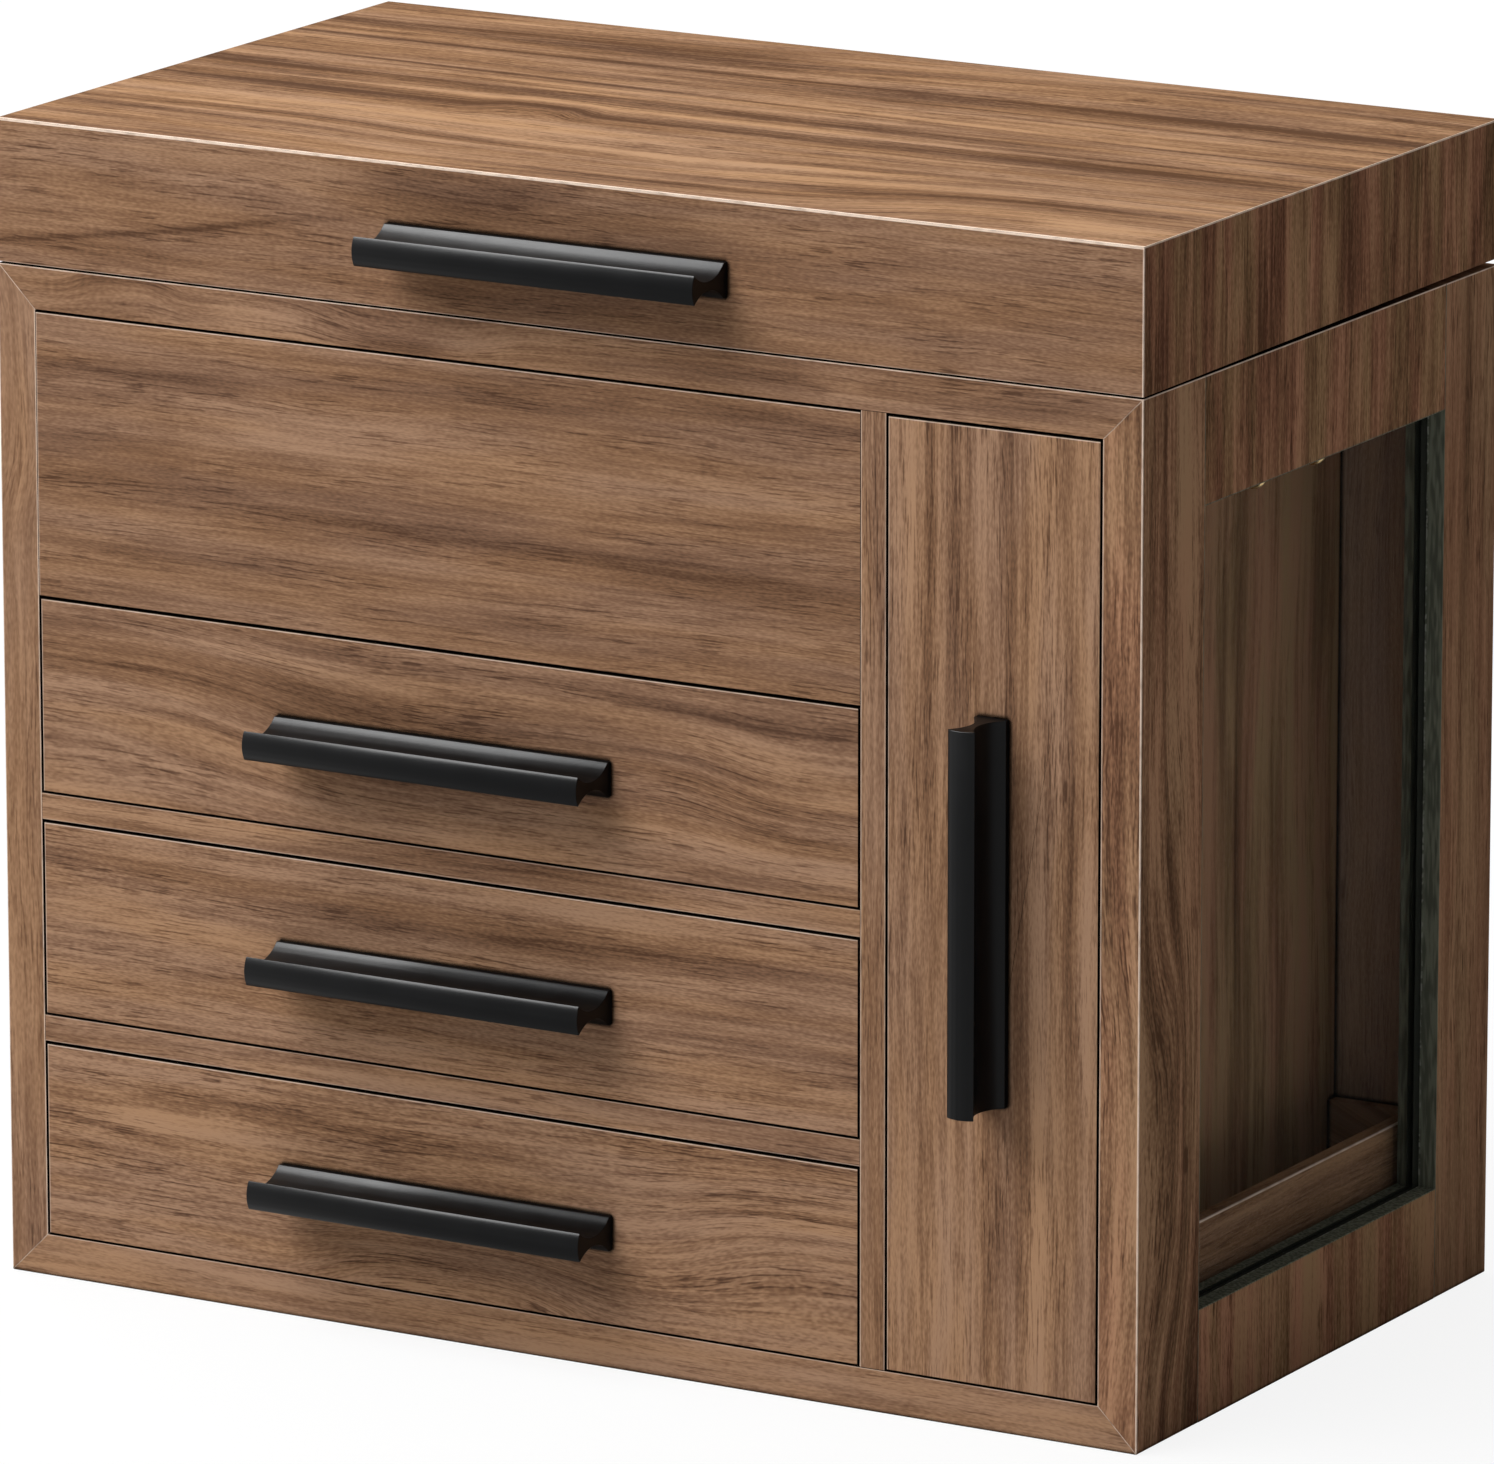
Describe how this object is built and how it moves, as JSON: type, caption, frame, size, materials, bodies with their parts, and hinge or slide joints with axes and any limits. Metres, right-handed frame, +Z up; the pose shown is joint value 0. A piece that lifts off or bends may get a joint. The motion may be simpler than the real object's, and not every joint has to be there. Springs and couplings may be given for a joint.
{
  "type": "vanity box",
  "caption": "Free-standing wooden vanity and jewellery box: hinged mirror lid, deep compartment, pull drawers and a windowed necklace pull-out.",
  "frame": {"origin": "middle of the case's underside, on the surface it stands on", "axes": "+X to the right seen from the front, +Y to the rear, +Z up"},
  "size_m": [0.3, 0.1928, 0.275],
  "materials": {
    "walnut": "satin walnut veneer",
    "drawer_wood": "satin, dark",
    "black_pull": "matte black",
    "steel": "zinc plated",
    "brass": "polished",
    "velvet": "short pile",
    "glass": "clear",
    "mirror": "silvered",
    "rubber": "matte"
  },
  "bodies": {
    "case": {"left_side": "walnut", "right_stiles": "walnut", "right_rails": "walnut", "top_board": "walnut", "bottom_board": "walnut", "back_board": "walnut", "divider": "walnut", "upper_shelf": "walnut", "lower_shelf": "walnut", "compartment_floor": "drawer_wood", "fixed_front": "walnut", "window_pane": "glass", "compartment_lining": "velvet", "compartment_partitions": "velvet", "lid_bumpers": "rubber", "case_hinge_leaves": "brass", "case_hinge_screws": "steel", "hinge_pins": "steel"},
    "lid": {"lid_top": "walnut", "lid_front": "walnut", "lid_rear": "walnut", "lid_left": "walnut", "lid_right": "walnut", "mirror_frame": "walnut", "mirror_glass": "mirror", "lid_hinge_leaves": "brass", "lid_hinge_screws": "steel", "lid_pull": "black_pull", "lid_pull_screws": "steel"},
    "upper_drawer": {"upper_drawer_front": "walnut", "upper_drawer_walls": "drawer_wood", "upper_drawer_bottom": "drawer_wood", "upper_drawer_lining": "velvet", "upper_drawer_partitions": "velvet", "upper_drawer_ring_rolls": "velvet", "upper_drawer_pull": "black_pull", "upper_drawer_pull_screws": "steel"},
    "middle_drawer": {"middle_drawer_front": "walnut", "middle_drawer_walls": "drawer_wood", "middle_drawer_bottom": "drawer_wood", "middle_drawer_lining": "velvet", "middle_drawer_partitions": "velvet", "middle_drawer_pull": "black_pull", "middle_drawer_pull_screws": "steel"},
    "lower_drawer": {"lower_drawer_front": "walnut", "lower_drawer_walls": "drawer_wood", "lower_drawer_bottom": "drawer_wood", "lower_drawer_lining": "velvet", "lower_drawer_pull": "black_pull", "lower_drawer_pull_screws": "steel"},
    "pull_out": {"pull_out_front": "walnut", "pull_out_base": "walnut", "pull_out_lips": "walnut", "pull_out_spine": "walnut", "pull_out_top": "walnut", "pull_out_pads": "velvet", "necklace_hooks": "brass", "pull_out_pull": "black_pull", "pull_out_pull_screws": "steel"}
  },
  "joints": [
    {"name": "lid_hinge", "type": "hinge", "parent": "case", "child": "lid", "pos_m": [0, 0.0877, 0.2417], "axis": [-1, 0, 0], "range_deg": [0, 95]},
    {"name": "upper_drawer_slide", "type": "slide", "parent": "case", "child": "upper_drawer", "axis": [0, -1, 0], "range_m": [0, 0.115]},
    {"name": "middle_drawer_slide", "type": "slide", "parent": "case", "child": "middle_drawer", "axis": [0, -1, 0], "range_m": [0, 0.115]},
    {"name": "lower_drawer_slide", "type": "slide", "parent": "case", "child": "lower_drawer", "axis": [0, -1, 0], "range_m": [0, 0.115]},
    {"name": "pull_out_slide", "type": "slide", "parent": "case", "child": "pull_out", "axis": [0, -1, 0], "range_m": [0, 0.135]}
  ]
}
